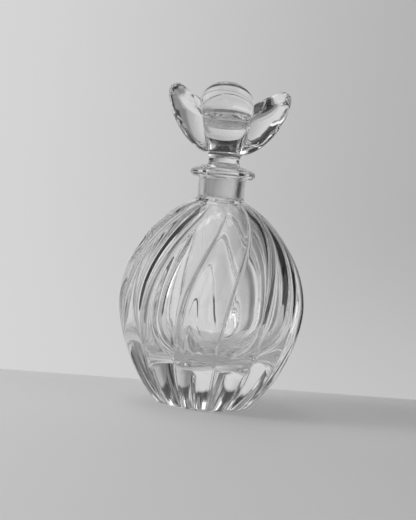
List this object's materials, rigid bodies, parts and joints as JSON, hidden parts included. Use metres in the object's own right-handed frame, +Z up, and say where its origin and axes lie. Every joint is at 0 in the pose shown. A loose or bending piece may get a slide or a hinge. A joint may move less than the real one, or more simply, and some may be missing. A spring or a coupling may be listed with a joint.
{
  "type": "perfume flacon",
  "caption": "Heavy clear crystal perfume flacon: an ovoid bottle with twisted convex flutes and a solid base, closed by a ground-glass stopper shaped as an open flower.",
  "frame": {"origin": "centre of the flat foot, on the surface the bottle stands on", "axes": "+Z up along the bottle's axis, -Y towards the front, +X to the right seen from the front"},
  "size_m": [0.0838, 0.0838, 0.1434],
  "materials": {
    "bottle_crystal": "fire-polished clear lead crystal, ground and frosted inside the neck",
    "stopper_crystal": "fire-polished clear lead crystal, with a ground and frosted plug"
  },
  "bodies": {
    "bottle": {"bottle": "bottle_crystal"},
    "stopper": {"stopper": "stopper_crystal"}
  },
  "joints": [
    {"name": "stopper_lift", "type": "slide", "parent": "bottle", "child": "stopper", "axis": [0, 0, 1], "range_m": [0, 0.03]}
  ]
}
